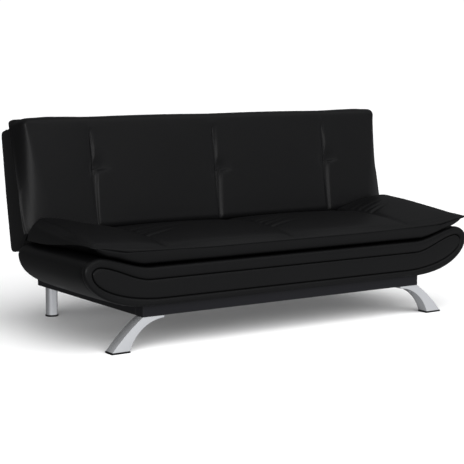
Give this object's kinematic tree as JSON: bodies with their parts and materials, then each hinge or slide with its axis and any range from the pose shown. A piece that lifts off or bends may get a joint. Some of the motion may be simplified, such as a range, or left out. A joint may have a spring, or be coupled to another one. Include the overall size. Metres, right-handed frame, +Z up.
{
  "type": "futon sofa bed",
  "caption": "Click-clack futon sofa bed: boat-shaped padded seat on a rail plinth with metal legs, and a cushioned back that ratchets down flat into a bed.",
  "frame": {"origin": "on the floor, at the bottom centre of the bounding box with the back upright", "axes": "+X along the sofa, towards the right-hand end seen from the front; +Y from the front to the back; +Z up"},
  "size_m": [1.8388, 0.926, 0.8482],
  "materials": {
    "leather": "satin black faux leather with a fine grain",
    "rail_black": "satin black lacquer on timber rails",
    "chrome": "satin chrome plate",
    "zinc_steel": "zinc plated steel",
    "black_plastic": "moulded black plastic",
    "pine": "sawn and planed pine",
    "black_cloth": "non-woven cloth and webbing",
    "foam": "open-cell upholstery foam"
  },
  "bodies": {
    "base": {"plinth_front_rail": "rail_black", "plinth_rear_rail": "rail_black", "plinth_side_rail_left": "rail_black", "plinth_side_rail_right": "rail_black", "plinth_cross_bar_left": "rail_black", "plinth_cross_bar_right": "rail_black", "front_leg_left": "chrome", "front_leg_right": "chrome", "rear_leg_left": "chrome", "rear_leg_right": "chrome", "front_leg_pad_left": "black_plastic", "front_leg_pad_right": "black_plastic", "rear_leg_cap_left": "black_plastic", "rear_leg_cap_right": "black_plastic", "front_leg_bolt_left_inner": "zinc_steel", "front_leg_bolt_left_outer": "zinc_steel", "front_leg_bolt_right_inner": "zinc_steel", "front_leg_bolt_right_outer": "zinc_steel", "rear_leg_bolt_left": "zinc_steel", "rear_leg_bolt_right": "zinc_steel", "seat_front_apron": "leather", "seat_rear_apron": "leather", "seat_end_bolster_left": "leather", "seat_end_bolster_right": "leather", "seat_fascia_panel": "leather", "seat_pad": "leather", "seat_front_board": "pine", "seat_rear_board": "pine", "seat_end_board_left": "pine", "seat_end_board_right": "pine", "seat_spring_1": "zinc_steel", "seat_spring_2": "zinc_steel", "seat_spring_3": "zinc_steel", "seat_spring_4": "zinc_steel", "seat_dust_cover": "black_cloth", "hinge_seat_plate_left": "zinc_steel", "hinge_pin_left": "zinc_steel", "hinge_pawl_pin_left": "zinc_steel", "hinge_pawl_spring_left": "zinc_steel", "hinge_seat_plate_right": "zinc_steel", "hinge_pin_right": "zinc_steel", "hinge_pawl_pin_right": "zinc_steel", "hinge_pawl_spring_right": "zinc_steel"},
    "back": {"back_cover": "leather", "back_pad": "leather", "back_top_rail": "pine", "back_bottom_rail": "pine", "back_stile_left": "pine", "back_stile_right": "pine", "back_stile_centre": "pine", "back_end_stile_left": "pine", "back_end_stile_right": "pine", "back_web_lower": "black_cloth", "back_web_upper": "black_cloth", "back_foam": "foam", "hinge_back_arm_left": "zinc_steel", "hinge_back_arm_right": "zinc_steel"},
    "pawl_left": {"hinge_pawl_left": "zinc_steel"},
    "pawl_right": {"hinge_pawl_right": "zinc_steel"}
  },
  "joints": [
    {"name": "back_recline", "type": "hinge", "parent": "base", "child": "back", "pos_m": [0, 0.141, 0.32], "axis": [1, 0, 0], "range_deg": [-78.2, 4]},
    {"name": "pawl_left_swing", "type": "hinge", "parent": "base", "child": "pawl_left", "pos_m": [-0.6466, 0.12921, 0.27736], "axis": [1, 0, 0], "range_deg": [-8, 0], "stiffness_Nm_per_rad": 0.05},
    {"name": "pawl_right_swing", "type": "hinge", "parent": "base", "child": "pawl_right", "pos_m": [0.6466, 0.12921, 0.27736], "axis": [1, 0, 0], "range_deg": [-8, 0], "stiffness_Nm_per_rad": 0.05}
  ]
}
